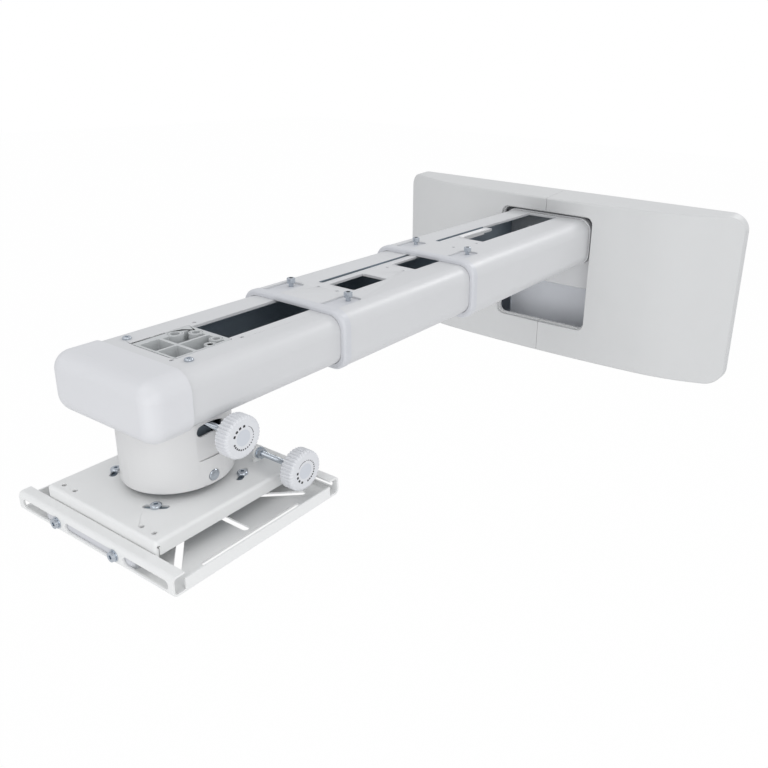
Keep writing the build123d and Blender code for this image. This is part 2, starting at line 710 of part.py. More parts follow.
# Head bolts: button head screws in the arc slots
with BuildPart() as head_bolts:
    with BuildSketch(Plane.XY.offset(head_top)):
        with Locations((0, -axis_reach)):
            with PolarLocations(head_bolt_circle, 4, head_bolt_angles[0]):
                Circle(3.8)
    extrude(amount=2.4)
    fillet(head_bolts.faces().sort_by(Axis.Z)[-4:].edges(), 1.2)
    with BuildSketch(Plane.XY.offset(head_top + 2.4)):
        with Locations((0, -axis_reach)):
            with PolarLocations(head_bolt_circle, 4, head_bolt_angles[0]):
                RegularPolygon(1.5, 6)
    extrude(amount=-1.5, mode=Mode.SUBTRACT)
    with BuildSketch(Plane.XY.offset(head_top)):
        with Locations((0, -axis_reach)):
            with PolarLocations(head_bolt_circle, 4, head_bolt_angles[0]):
                Circle(2)
    extrude(amount=-head_sheet - turntable_thickness - 2)
head_bolts.part.label = "head_bolts"
export_step(head_bolts.part, "parts/head_bolts.step")

# Adjusting knobs: finely fluted and dished, with a ring of direction marks on the face, each on
# its own threaded rod
for name, back, reach, drop, rod_start in (
    ("roll", roll_knob_back, roll_screw_reach, roll_screw_drop, -10),
    ("yaw", yaw_knob_back, yaw_screw_reach, yaw_screw_drop, -8),
):
    knob_plane = Plane(origin=(back, -reach, below(drop)), x_dir=(0, 1, 0), z_dir=(1, 0, 0))
    with BuildPart() as knob:
        with BuildSketch(knob_plane):
            Circle(knob_radius)
            with PolarLocations(knob_radius + 0.35, 36):
                Circle(0.85, mode=Mode.SUBTRACT)
        extrude(amount=knob_length - 3)
        with BuildSketch(knob_plane.offset(knob_length - 3)):
            Circle(knob_radius - 0.4)
        extrude(amount=3)
        fillet(knob.faces().sort_by(Axis.X)[-1].edges(), 2.4)
        face = knob_plane.offset(knob_length)
        with BuildSketch(face):
            for step in range(4):
                angle = 105 + 26 * step
                with Locations((knob_mark_radius * cos(radians(angle)),
                                knob_mark_radius * sin(radians(angle)))):
                    Rectangle(1.5, 1.2, rotation=angle)
        extrude(amount=-0.4, mode=Mode.SUBTRACT)
        with BuildSketch(knob_plane):
            Circle(screw_rod / 2)
        extrude(amount=8, mode=Mode.SUBTRACT)
    knob.part.label = f"{name}_knob"
    export_step(knob.part, f"parts/{name}_knob.step")
    with BuildPart() as rod:
        with BuildSketch(knob_plane.offset(rod_start - back)):
            Circle(screw_rod / 2)
        extrude(amount=back - rod_start + 8)
        chamfer(rod.faces().sort_by(Axis.X)[0].edges(), 0.5)
    rod.part.label = f"{name}_screw"
    export_step(rod.part, f"parts/{name}_screw.step")

# Yaw screw nut: a hex nut and washer that keep the yaw screw in the head plate's lug
with BuildPart() as yaw_nut:
    nut_plane = Plane(origin=(32.05, -yaw_screw_reach, below(yaw_screw_drop)), x_dir=(0, 1, 0), z_dir=(1, 0, 0))
    with BuildSketch(nut_plane):
        Circle(4.4)
    extrude(amount=1)
    with BuildSketch(nut_plane.offset(1)):
        RegularPolygon(4.0, 6)
    extrude(amount=3.2)
    with BuildSketch(nut_plane):
        Circle(screw_rod / 2)
    extrude(amount=4.2, mode=Mode.SUBTRACT)
yaw_nut.part.label = "yaw_nut"
export_step(yaw_nut.part, "parts/yaw_nut.step")

# Slide bars: moulded bars on the front and rear flanges; the tray's rails run over them
tray_wall_inner = tray_half_depth - tray_sheet
slide_bar_height = tray_floor_drop - tray_top_drop - 2 * tray_sheet - 0.2
for side, name in ((1, "slide_bar_front"), (-1, "slide_bar_rear")):
    with BuildPart() as slide_bar:
        near = axis_reach + side * head_half_depth
        far = axis_reach + side * (tray_wall_inner - 0.1)
        with BuildSketch(Plane.XZ.offset(near)):
            with Locations((slide_bar_middle, below((tray_floor_drop + tray_top_drop) / 2))):
                Rectangle(slide_bar_length, slide_bar_height)
        extrude(amount=far - near)
        outside = slide_bar.faces().sort_by(Axis.Y)[0 if side > 0 else -1]
        chamfer(outside.edges(), 1.6)
        with BuildSketch(Plane.XZ.offset(near)):
            with Locations(*[(x, below(tray_slot_drop)) for x in rail_screw_places]):
                Circle(2.05)
        extrude(amount=far - near, mode=Mode.SUBTRACT)
    slide_bar.part.label = name
    export_step(slide_bar.part, f"parts/{name}.step")

# Rail screws and washers: they run in the slots of the tray's rails
for name, radius, thick, lift in (("rail_washers", 4.2, 0.7, 0), ("rail_screws", 3.4, 2, 0.7)):
    with BuildPart() as fasteners:
        for side in (-1, 1):
            base = axis_reach + side * (tray_half_depth + lift + 0.02)
            places = [(x, below(tray_slot_drop)) for x in rail_screw_places]
            with BuildSketch(Plane.XZ.offset(base)):
                with Locations(*places):
                    Circle(radius)
            extrude(amount=side * thick)
            if name == "rail_screws":
                with BuildSketch(Plane.XZ.offset(base + side * thick)):
                    with Locations(*places):
                        RegularPolygon(1.5, 6)
                extrude(amount=-side * 1.3, mode=Mode.SUBTRACT)
                with BuildSketch(Plane.XZ.offset(axis_reach + side * (head_half_depth - head_sheet - 2))):
                    with Locations(*places):
                        Circle(2)
                extrude(amount=side * (tray_half_depth + lift + 0.02 - head_half_depth + head_sheet + 2))
            else:
                with BuildSketch(Plane.XZ.offset(base)):
                    with Locations(*places):
                        Circle(2)
                extrude(amount=side * thick, mode=Mode.SUBTRACT)
    fasteners.part.label = name
    export_step(fasteners.part, f"parts/{name}.step")

# Tray: one folded sheet, with a slotted rail at the front and rear, a low lip at each end and
# a floor slotted for the projector's screws
with BuildPart() as tray:
    tray_middle = (tray_left + tray_right) / 2
    tray_length = tray_right - tray_left
    with BuildSketch(Plane.YZ.offset(tray_left)):
        with Locations((-axis_reach, (below(tray_top_drop) + below(tray_floor_drop)) / 2)):
            RectangleRounded(2 * tray_half_depth, tray_floor_drop - tray_top_drop, 3.4)
            RectangleRounded(
                2 * tray_wall_inner, tray_floor_drop - tray_top_drop - 2 * tray_sheet, 1.8,
                mode=Mode.SUBTRACT,
            )
        with Locations((-axis_reach, below(tray_top_drop))):
            Rectangle(2 * (tray_half_depth - tray_lip), 6, mode=Mode.SUBTRACT)
    extrude(amount=tray_length)
    for x in (tray_left + tray_sheet / 2, tray_right - tray_sheet / 2):
        with BuildSketch(Plane.XY.offset(below(tray_floor_drop))):
            with Locations((x, -axis_reach)):
                Rectangle(tray_sheet, 2 * (head_half_depth - head_sheet - 1.5) if x < 0
                          else 2 * (tray_half_depth - tray_lip))
        extrude(amount=tray_end_lip)
    for side in (-1, 1):
        with BuildSketch(Plane.XZ.offset(axis_reach + side * (tray_half_depth + 1))):
            for start, end in tray_slots:
                with Locations(((start + end) / 2, below(tray_slot_drop))):
                    SlotOverall(end - start, tray_slot_height)
        extrude(amount=-side * 4, mode=Mode.SUBTRACT)
    with BuildSketch(Plane.XY.offset(below(tray_floor_drop))):
        with Locations((tray_middle, -axis_reach)):
            for angle in (41.5, 138.5, 221.5, 318.5):
                with Locations((57 * cos(radians(angle)), 57 * sin(radians(angle)))):
                    SlotOverall(53, 4.8, rotation=angle)
            with GridLocations(94.5, 1, 2, 1):
                SlotOverall(33, 4.8)
            with GridLocations(138.5, 1, 2, 1):
                SlotOverall(84, 3.9, rotation=90)
    extrude(amount=tray_sheet, mode=Mode.SUBTRACT)
tray.part.label = "tray"
export_step(tray.part, "parts/tray.step")
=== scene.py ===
from math import cos, radians, sin

import bmesh
import bpy
from mathutils import Matrix, Vector


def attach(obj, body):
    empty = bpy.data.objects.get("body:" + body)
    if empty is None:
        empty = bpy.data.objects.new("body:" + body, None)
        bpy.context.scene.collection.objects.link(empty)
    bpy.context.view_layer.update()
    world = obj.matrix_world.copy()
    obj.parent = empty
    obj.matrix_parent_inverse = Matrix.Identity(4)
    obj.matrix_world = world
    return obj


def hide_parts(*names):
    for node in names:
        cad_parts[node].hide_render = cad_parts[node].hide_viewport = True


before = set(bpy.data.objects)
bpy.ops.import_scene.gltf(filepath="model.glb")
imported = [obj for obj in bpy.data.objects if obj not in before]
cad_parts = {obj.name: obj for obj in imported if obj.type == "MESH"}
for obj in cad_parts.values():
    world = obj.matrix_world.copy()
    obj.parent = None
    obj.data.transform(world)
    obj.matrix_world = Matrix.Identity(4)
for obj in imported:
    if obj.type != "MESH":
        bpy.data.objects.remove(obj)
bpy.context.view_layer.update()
bpy.ops.object.select_all(action="DESELECT")

# Wall plate and guide rails: a pressed and painted steel plate, screwed to the wall through its
# round holes. The two zinc plated channels are spot welded to it and hold the carriage. The
# plate's paint is made lighter than the arm's, as painted light for the deep recess behind the cover.


def shader_node(material, kind, **values):
    """A new shader node of this kind, with its plain inputs set."""
    node = material.node_tree.nodes.new(kind)
    for name, value in values.items():
        node.inputs[name.replace("_", " ")].default_value = value
    return node


def finish_material(name, colour, roughness, metal=0.0, mottle=0.04, grain=1600, depth=0.00001,
                    stretch=(1, 1, 1)):
    """A surface finish: its colour and gloss vary a little, and fine grain gives it its touch."""
    material = bpy.data.materials.new(name)
    material.use_nodes = True
    links = material.node_tree.links
    shader = material.node_tree.nodes["Principled BSDF"]
    shader.inputs["Metallic"].default_value = metal
    place = shader_node(material, "ShaderNodeTexCoord")
    turn = shader_node(material, "ShaderNodeMapping", Scale=stretch)
    links.new(place.outputs["Object"], turn.inputs["Vector"])
    clouds = shader_node(material, "ShaderNodeTexNoise", Scale=38, Detail=3, Roughness=0.55)
    links.new(turn.outputs["Vector"], clouds.inputs["Vector"])
    tint = shader_node(material, "ShaderNodeMix")
    tint.data_type = "RGBA"
    dark_socket, light_socket, colour_socket = 6, 7, 2
    tint.inputs[dark_socket].default_value = [c * (1 - mottle) for c in colour] + [1]
    tint.inputs[light_socket].default_value = [min(1, c * (1 + mottle)) for c in colour] + [1]
    links.new(clouds.outputs["Fac"], tint.inputs["Factor"])
    links.new(tint.outputs[colour_socket], shader.inputs["Base Color"])
    uneven = 0.08
    gloss = shader_node(material, "ShaderNodeMapRange", To_Min=roughness - uneven,
                        To_Max=roughness + uneven)
    links.new(clouds.outputs["Fac"], gloss.inputs["Value"])
    links.new(gloss.outputs["Result"], shader.inputs["Roughness"])
    speck = shader_node(material, "ShaderNodeTexNoise", Scale=grain, Detail=2, Roughness=0.5)
    links.new(turn.outputs["Vector"], speck.inputs["Vector"])
    bump = shader_node(material, "ShaderNodeBump", Strength=1.0, Distance=depth)
    links.new(speck.outputs["Fac"], bump.inputs["Height"])
    links.new(bump.outputs["Normal"], shader.inputs["Normal"])
    return material


def smooth_faces(piece, angle=32):
    """Smooth shading inside each face group, with the large flat faces kept flat."""
    bpy.ops.object.select_all(action="DESELECT")
    piece.select_set(True)
    bpy.context.view_layer.objects.active = piece
    bpy.ops.object.shade_smooth_by_angle(angle=radians(angle))
    even = piece.modifiers.new("even", "WEIGHTED_NORMAL")
    even.keep_sharp = True
    even.weight = 80
    bpy.ops.object.modifier_apply(modifier="even")


def eased_copy(node, body, slot, *finishes, width=0.0003):
    """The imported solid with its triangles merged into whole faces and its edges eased."""
    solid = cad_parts[node]
    piece = bpy.data.objects.new(node + "_piece", solid.data.copy())
    bpy.context.scene.collection.objects.link(piece)
    piece.data.materials.clear()
    for finish in finishes:
        piece.data.materials.append(finish)
    bpy.ops.object.select_all(action="DESELECT")
    piece.select_set(True)
    bpy.context.view_layer.objects.active = piece
    bpy.ops.mesh.customdata_custom_splitnormals_clear()
    bpy.ops.object.mode_set(mode="EDIT")
    bpy.ops.mesh.select_all(action="SELECT")
    bpy.ops.mesh.remove_doubles(threshold=0.00001)
    bpy.ops.mesh.dissolve_limited(angle_limit=radians(1))
    bpy.ops.object.mode_set(mode="OBJECT")
    if width:
        ease = piece.modifiers.new("ease", "BEVEL")
        ease.width = width
        ease.segments = 2
        ease.limit_method = "ANGLE"
        ease.angle_limit = radians(28)
        ease.use_clamp_overlap = False
        ease.miter_outer = "MITER_ARC"
        bpy.ops.object.modifier_apply(modifier="ease")
    smooth_faces(piece)
    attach(piece, body)
    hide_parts(node)
    return piece


zinc_sheet = finish_material("zinc_sheet", (0.60, 0.63, 0.67), 0.36, metal=1.0, mottle=0.10, grain=500,
                             depth=0.000004)
# The recess paint is a lighter blue white than the arm's paint: painted light that brightens the deep
# recess, tinted blue like the shade in it.
recess_paint_and_painted_light = finish_material("recess_paint_and_painted_light", (0.84, 0.86, 0.90), 0.40, mottle=0.03, grain=1300)
eased_copy("wall_plate", "wall", "arm_paint", recess_paint_and_painted_light)
for name in ("guide_rail_left", "guide_rail_right"):
    eased_copy(name, "wall", "zinc_steel", zinc_sheet)

# Wall cover: two matt moulded shells, bowed outwards, that clip over the wall plate and meet in
# a fine seam above and below the opening. A lip stands a step behind the opening's edge.
cover_plastic = finish_material("cover_plastic", (0.635, 0.64, 0.64), 0.42, mottle=0.015, grain=2600,
                                depth=0.000006)
for name in ("cover_left", "cover_right"):
    eased_copy(name, "wall", "cover_plastic", cover_plastic, width=0.0004)

# Carriage and arm root: a folded steel plate that runs up and down in the rails, and the stiff
# box welded to it that holds the rear end of the arm. Both are painted; the carriage takes the
# recess's lightened paint, which is painted light.
powder_coat = finish_material("powder_coat", (0.64, 0.645, 0.655), 0.36, mottle=0.02, grain=1300)
eased_copy("carriage", "arm", "inner_steel", recess_paint_and_painted_light)
eased_copy("arm_root", "arm", "arm_paint", powder_coat)

# Telescopic arm: three rectangular steel tubes with rounded corners, powder coated outside and
# bare inside, with cable windows and narrow slots cut in their tops. The bare insides and the
# slots' walls get a dark steel finish, darkened as painted shade for the dim inside of the tubes.
# The middle tube's top is also open at its rear end, so that the outer tube's window looks down into it.
# The dark steel finish is partly painted shade: it darkens hollows, slots and insides that lie in shade.
steel_and_painted_shade = finish_material("steel_and_painted_shade", (0.27, 0.32, 0.37), 0.38, metal=0.25, mottle=0.18, grain=700,
                             depth=0.000006, stretch=(1, 0.15, 1))
arm_height = 0.051
slot_strip = 0.003
slot_widening = 1.5
top_wall_level = 0.07


def open_top(piece, reach, height, length):
    """Cuts the middle of the piece's top away over this length."""
    cut_width = 0.048
    cut_depth = 0.014
    bpy.ops.object.select_all(action="DESELECT")
    bpy.ops.mesh.primitive_cube_add(size=1, location=(0, -reach, height),
                                    scale=(cut_width, length, cut_depth))
    cutter = bpy.context.active_object
    cut = piece.modifiers.new("cut", "BOOLEAN")
    cut.operation = "DIFFERENCE"
    cut.object = cutter
    bpy.context.view_layer.objects.active = piece
    bpy.ops.object.modifier_apply(modifier="cut")
    bpy.data.objects.remove(cutter)


for name, body, half_width, half_height, slot_x, slot_start, slot_end in (
    ("outer_tube", "arm", 0.0553, 0.0253, -0.020, -0.262, -0.166),
    ("middle_tube", "middle", 0.0518, 0.0216, -0.0175, -0.439, -0.243),
    ("inner_tube", "nose", 0.0478, 0.0178, 0, 0, 0),
):
    tube = eased_copy(name, body, "arm_paint", powder_coat, steel_and_painted_shade)
    for vertex in tube.data.vertices:
        beside_slot = abs(vertex.co.x - slot_x) < slot_strip and slot_start < vertex.co.y < slot_end
        if beside_slot and vertex.co.z > top_wall_level:
            vertex.co.x = slot_x + (vertex.co.x - slot_x) * slot_widening
    if name == "middle_tube":
        open_top(tube, reach=0.205, height=0.072, length=0.068)
    # Faces inside the tube, and the upright walls of the slots, get the dark steel: painted shade.
    for face in tube.data.polygons:
        across = Vector((face.center.x, face.center.z - arm_height))
        inwards = face.normal.x * across.x + face.normal.z * across.y < 0
        within = abs(across.x) < half_width and abs(across.y) < half_height
        lengthwise = abs(face.normal.y) < 0.5
        in_slot = abs(face.center.x - slot_x) < slot_strip and slot_start < face.center.y < slot_end
        upright = abs(face.normal.z) < 0.6
        face.material_index = int(inwards and within and lengthwise or in_slot and upright)

# Cable clip: a small white moulding pushed on the edge of the outer tube's window.
clip_plastic = finish_material("clip_plastic", (0.80, 0.80, 0.80), 0.38, mottle=0.01, grain=2600,
                               depth=0.000004)
eased_copy("cable_clip", "arm", "white_clip", clip_plastic, width=0.0002)

# Collars and glide rings: tough matt mouldings on the tube ends that keep the tubes from
# scraping. Each collar has two sunk tongues on top under the clamp screws, and the middle tube's
# glide is open on top where the tube is.
collar_plastic = finish_material("collar_plastic", (0.61, 0.62, 0.65), 0.36, mottle=0.012, grain=2400,
                                 depth=0.000005)
eased_copy("collar_outer", "arm", "moulding", collar_plastic)
eased_copy("collar_middle", "middle", "moulding", collar_plastic)
middle_glide = eased_copy("glide_middle", "middle", "moulding", collar_plastic, width=0.0)
open_top(middle_glide, reach=0.196, height=0.076, length=0.04)
eased_copy("glide_inner", "nose", "moulding", collar_plastic, width=0.0)

# Clamp screws: zinc plated socket head screws, knurled round the head, that press through the
# collar on the tube inside it. One is modelled and the rest are copies.
bright_zinc = finish_material("bright_zinc", (0.54, 0.58, 0.63), 0.19, metal=1.0, mottle=0.08, grain=900,
                              depth=0.000002)
socket_shade = finish_material("socket_shade", (0.06, 0.065, 0.075), 0.35, metal=0.6, depth=0.000002)
clamp_head_radius = 0.0035
clamp_head_height = 0.004
knurl_points = 48
groove_scale = 0.965
crown_edge = 0.0004
crown_rise = 0.0003
socket_edge = 0.0013
socket_depth = 0.0022
socket_radius = 0.0018
socket_floor = 0.001
shank_edge = 0.0015
shank_length = 0.005
clamp_screw_x = 0.031


def start_piece(name):
    """The new primitive becomes this piece, and edit mode opens on it."""
    piece = bpy.context.active_object
    piece.name = name
    piece.data.name = name
    bpy.ops.object.mode_set(mode="EDIT")
    return piece


def pick(piece, kind, rule):
    """Selects the faces, edges or vertices of the piece in edit mode that follow the rule."""
    mesh = bmesh.from_edit_mesh(piece.data)
    for layer in (mesh.verts, mesh.edges, mesh.faces):
        for item in layer:
            item.select_set(False)
    bpy.context.tool_settings.mesh_select_mode = (kind == "verts", kind == "edges", kind == "faces")
    for item in getattr(mesh, kind):
        if rule(item):
            item.select_set(True)
    mesh.select_flush_mode()
    bmesh.update_edit_mesh(piece.data)


def faces_up(face):
    """Whether this face points up."""
    return face.normal.z > 0.9


def faces_down(face):
    """Whether this face points down."""
    return face.normal.z < -0.9


def on_knurl(v):
    """Whether this vertex lies in a groove of the knurl, which every other one does."""
    return round(Vector(v.co.xy).angle_signed(Vector((1, 0))) / radians(360 / knurl_points)) % 2


def end_piece(piece, finish, angle=32):
    """Out of edit mode with the place applied, smoothed and given its finish."""
    bpy.ops.object.mode_set(mode="OBJECT")
    bpy.ops.object.select_all(action="DESELECT")
    piece.select_set(True)
    bpy.context.view_layer.objects.active = piece
    bpy.ops.object.transform_apply(location=True, rotation=True, scale=True)
    smooth_faces(piece, angle)
    piece.data.materials.clear()
    piece.data.materials.append(finish)


def copy_at(piece, name, body, matrix, node):
    """A copy with a mesh of its own, moved by this matrix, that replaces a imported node."""
    twin = bpy.data.objects.new(name, piece.data.copy())
    twin.data.transform(matrix)
    bpy.context.scene.collection.objects.link(twin)
    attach(twin, body)
    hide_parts(node)


bpy.ops.object.select_all(action="DESELECT")
bpy.ops.mesh.primitive_cylinder_add(vertices=knurl_points, radius=clamp_head_radius,
                                    depth=clamp_head_height, location=(0, 0, clamp_head_height / 2))
clamp_screw = start_piece("clamp_screw")
pick(clamp_screw, "verts", on_knurl)
bpy.ops.transform.resize(value=(groove_scale, groove_scale, 1), center_override=(0, 0, 0))
pick(clamp_screw, "faces", faces_up)
bpy.ops.mesh.inset(thickness=crown_edge)
bpy.ops.transform.translate(value=(0, 0, crown_rise))
bpy.ops.mesh.inset(thickness=socket_edge)
bpy.ops.mesh.extrude_region_move(TRANSFORM_OT_translate={"value": (0, 0, -socket_depth)})
pick(clamp_screw, "faces", faces_down)
bpy.ops.mesh.inset(thickness=shank_edge)
bpy.ops.mesh.extrude_region_move(TRANSFORM_OT_translate={"value": (0, 0, -shank_length)})
end_piece(clamp_screw, bright_zinc)
clamp_screw.data.materials.append(socket_shade)
for face in clamp_screw.data.polygons:
    in_radius = Vector(face.center.xy).length < socket_radius
    face.material_index = int(in_radius and socket_floor < face.center.z < clamp_head_height)
for stage, body, height, reach in (
    ("outer", "arm", 0.0805, 0.2825),
    ("middle", "middle", 0.07625, 0.4585),
):
    for side, x in (("left", -clamp_screw_x), ("right", clamp_screw_x)):
        place = Matrix.Translation((x, -reach, height))
        copy_at(clamp_screw, f"clamp_screw_{stage}_{side}", body, place,
                f"clamp_screws_{stage}")
bpy.data.objects.remove(clamp_screw)

# Cable block and its screws: a ribbed grey moulding with four ringed bosses, set in the end of
# the inner tube's window so that the cables turn down between its ribs.
block_plastic = finish_material("block_plastic", (0.54, 0.555, 0.56), 0.45, mottle=0.03, grain=2200,
                                depth=0.000008)
eased_copy("cable_block", "nose", "grey_block", block_plastic, width=0.0002)
eased_copy("cap_screws", "nose", "zinc_steel", bright_zinc, width=0.00015)

# End cap: a moulded cup pushed over the end of the inner tube, its front edges well rounded and
# its underside cut out for the housing. Its rear edge is moved forward to the real seam.
cap_plastic = finish_material("cap_plastic", (0.68, 0.685, 0.705), 0.34, mottle=0.010, grain=2600,
                              depth=0.000004)
cap_rear_reach = 0.6225
seam_shift = 0.005
cap = eased_copy("end_cap", "nose", "moulding", cap_plastic)
for vertex in cap.data.vertices:
    if vertex.co.y > -cap_rear_reach:
        vertex.co.y -= seam_shift

# Housing: a painted casting under the nose, flat on both sides, with the smooth tilt pins in it
# and the arc slot that the roll screw passes through. The faces inside its hollow get the dark
# steel finish, as painted shade for the dark inside.
housing_paint = finish_material("housing_paint", (0.68, 0.68, 0.68), 0.33, mottle=0.015, grain=1500,
                                depth=0.000008)
axis_reach = 0.6035
hollow_radius = 0.0347
hollow_bottom = -0.0190
hollow_top = 0.0285
housing = eased_copy("tilt_housing", "nose", "moulding", housing_paint, steel_and_painted_shade, width=0.0006)
# Faces inside the hollow are painted dark: painted shade.
for face in housing.data.polygons:
    from_axis = Vector((face.center.x, face.center.y + axis_reach)).length
    face.material_index = int(from_axis < hollow_radius and hollow_bottom < face.center.z < hollow_top)
eased_copy("tilt_pins", "nose", "zinc_steel", bright_zinc, width=0.0)

# Tilt ring, roll pin, roll post and turntable: steel parts that turn in each other inside the
# housing and carry the head plate. The ring, post and turntable get the dark steel finish, partly
# as painted shade for the deep shade inside the housing.
for name, body in (("tilt_ring", "tilt"), ("roll_post", "roll"), ("turntable", "roll")):
    eased_copy(name, body, "inner_steel", steel_and_painted_shade)
eased_copy("roll_pin", "tilt", "zinc_steel", bright_zinc, width=0.0)

# Adjusting rods: zinc plated steel rods with a fine thread along nearly all their length, moulded
# into the knobs. One screws through the roll post, the other through the turntable's lug.
rod_radius = 0.00175
thread_pitch = 0.0007
ridge_radius = 0.00035
ridge_middle = 0.00168
ridge_inner_point = -0.0002
thread_start = 0.0006
plain_length = 0.0015
tip_chamfer = 0.0004

for stem, body, start, length, reach, height in (
    ("roll", "roll_dial", -0.010, 0.0698, 0.6005, 0.022),
    ("yaw", "yaw_dial", -0.008, 0.0806, 0.559, -0.0175),
):
    bpy.ops.object.select_all(action="DESELECT")
    bpy.ops.mesh.primitive_circle_add(vertices=4, radius=ridge_radius, rotation=(radians(90), 0, 0),
                                      location=(ridge_middle, 0, thread_start))
    thread = start_piece(f"{stem}_thread")
    pick(thread, "verts", lambda v: v.co.x < ridge_inner_point)
    bpy.ops.mesh.delete(type="VERT")
    bpy.ops.object.mode_set(mode="OBJECT")
    bpy.ops.object.transform_apply(location=True, rotation=True, scale=True)
    winding = thread.modifiers.new("winding", "SCREW")
    winding.screw_offset = thread_pitch
    winding.iterations = int((length - plain_length) / thread_pitch)
    winding.steps = 14
    winding.render_steps = 14
    winding.use_merge_vertices = True
    winding.merge_threshold = 0.00001
    bpy.ops.object.modifier_apply(modifier="winding")
    bpy.ops.object.select_all(action="DESELECT")
    bpy.ops.mesh.primitive_cylinder_add(vertices=28, radius=rod_radius, depth=length,
                                        location=(0, 0, length / 2))
    rod = start_piece(f"{stem}_screw_piece")
    pick(rod, "faces", faces_down)
    bpy.ops.mesh.inset(thickness=tip_chamfer)
    bpy.ops.transform.translate(value=(0, 0, -tip_chamfer))
    bpy.ops.object.mode_set(mode="OBJECT")
    thread.select_set(True)
    bpy.ops.object.join()
    bpy.ops.object.mode_set(mode="EDIT")
    bpy.ops.mesh.select_all(action="SELECT")
    bpy.ops.mesh.normals_make_consistent(inside=False)
    end_piece(rod, bright_zinc, angle=50)
    to_side = Matrix.Translation((start, -reach, height)) @ Matrix.Rotation(radians(90), 4, "Y")
    rod.data.transform(to_side)
    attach(rod, body)
    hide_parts(f"{stem}_screw")

# Adjusting knobs: white mouldings with thirty-six fine flutes, well rounded in front and dished
# in the middle of the face, the dish painted a darker blue grey as painted shade. Four black
# squares, and dots that shrink to a hairline, show the turn.
knob_plastic = finish_material("knob_plastic", (0.70, 0.71, 0.735), 0.36, mottle=0.010, grain=2600,
                               depth=0.000004)
mark_ink = finish_material("mark_ink", (0.012, 0.012, 0.014), 0.5, mottle=0.0, grain=2600, depth=0.000002)
painted_dish_shade = finish_material("painted_dish_shade", (0.60, 0.625, 0.67), 0.36, mottle=0.010, grain=2600,
                            depth=0.000003)
flute_count = 36
flute_steps = 6
flute_bed_scale = 0.942
flute_side_scale = 0.966
flute_reach = 0.0126
knob_radius = 0.0148
knob_length = 0.0108
end_level = 0.005
front_round = 0.0024
back_round = 0.0008
rim_width = 0.0008
rim_sink = 0.0001
mark_ring_width = 0.0052
dish_edge = 0.0008
dish_sink = 0.0003
many_corners = 100
mark_circle = 0.0081
mark_level = 0.00531
mark_thickness = 0.00008
square_angles = (84, 108, 131, 155)
square_across = 0.0008
square_along = 0.0009
dot_count = 13
first_dot_angle = 197
dot_spacing = 13.2
first_dot = 0.00066
dot_loss = 0.000028
hairline_steps = 16
hairline_angle = 7
hairline_spacing = 3.4
hairline_across = 0.00024
hairline_loss = 0.000008
hairline_along = 0.00026

marks = []
for angle in square_angles:
    marks.append((angle, square_across, square_along))
for step in range(dot_count):
    dot = first_dot - dot_loss * step
    marks.append((first_dot_angle + dot_spacing * step, dot, dot))
for step in range(hairline_steps):
    across = hairline_across - hairline_loss * step
    marks.append((hairline_angle + hairline_spacing * step, across, hairline_along))


def flute_step(v):
    """The place of this vertex in its flute, counted in steps of a sixth of a flute."""
    step_angle = radians(360 / (flute_count * flute_steps))
    return round(Vector(v.co.xy).angle_signed(Vector((1, 0)), 0) / step_angle) % flute_steps


def on_side(v):
    """Whether this vertex lies in the fluted side of the knob."""
    return Vector(v.co.xy).length > flute_reach


for stem, body, middle, reach, height, turned in (
    ("roll", "roll_dial", 0.0599, 0.6005, 0.022, 0),
    ("yaw", "yaw_dial", 0.0727, 0.559, -0.0175, 85),
):
    to_side = Matrix.Translation((middle, -reach, height)) @ Matrix.Rotation(radians(90), 4, "Y")
    to_side = to_side @ Matrix.Rotation(radians(90), 4, "Z")
    bpy.ops.object.select_all(action="DESELECT")
    bpy.ops.mesh.primitive_cylinder_add(vertices=flute_count * flute_steps, radius=knob_radius,
                                        depth=knob_length)
    knob = start_piece(f"{stem}_knob_piece")
    pick(knob, "edges", lambda e: all(v.co.z > end_level for v in e.verts))
    bpy.ops.mesh.bevel(offset=front_round, segments=5, affect="EDGES")
    pick(knob, "edges", lambda e: all(v.co.z < -end_level for v in e.verts))
    bpy.ops.mesh.bevel(offset=back_round, segments=2, affect="EDGES")
    pick(knob, "verts", lambda v: on_side(v) and flute_step(v) == 0)
    bpy.ops.transform.resize(value=(flute_bed_scale, flute_bed_scale, 1), center_override=(0, 0, 0))
    pick(knob, "verts", lambda v: on_side(v) and flute_step(v) in (1, flute_steps - 1))
    bpy.ops.transform.resize(value=(flute_side_scale, flute_side_scale, 1), center_override=(0, 0, 0))
    pick(knob, "faces", lambda f: faces_up(f) and len(f.verts) > many_corners)
    bpy.ops.mesh.inset(thickness=rim_width)
    bpy.ops.transform.translate(value=(0, 0, -rim_sink))
    bpy.ops.mesh.inset(thickness=mark_ring_width)
    bpy.ops.mesh.inset(thickness=dish_edge)
    bpy.ops.transform.translate(value=(0, 0, -dish_sink))
    end_piece(knob, knob_plastic, angle=30)
    # The dished middle of the face gets the darker blue grey: painted shade.
    knob.data.materials.append(painted_dish_shade)
    for face in knob.data.polygons:
        face.material_index = int(len(face.vertices) > many_corners and faces_up(face))
    knob.data.transform(to_side)
    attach(knob, body)
    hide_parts(f"{stem}_knob")

    pieces = []
    for angle, across, along in marks:
        turn = radians(angle + turned)
        place = (mark_circle * cos(turn), mark_circle * sin(turn), mark_level)
        bpy.ops.object.select_all(action="DESELECT")
        bpy.ops.mesh.primitive_cube_add(size=1, location=place, rotation=(0, 0, turn),
                                        scale=(2 * across, 2 * along, mark_thickness))
        pieces.append(bpy.context.active_object)
    for mark in pieces:
        mark.select_set(True)
    bpy.ops.object.join()
    ring = start_piece(f"{stem}_knob_marks")
    end_piece(ring, mark_ink, angle=30)
    ring.data.transform(to_side)
    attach(ring, body)

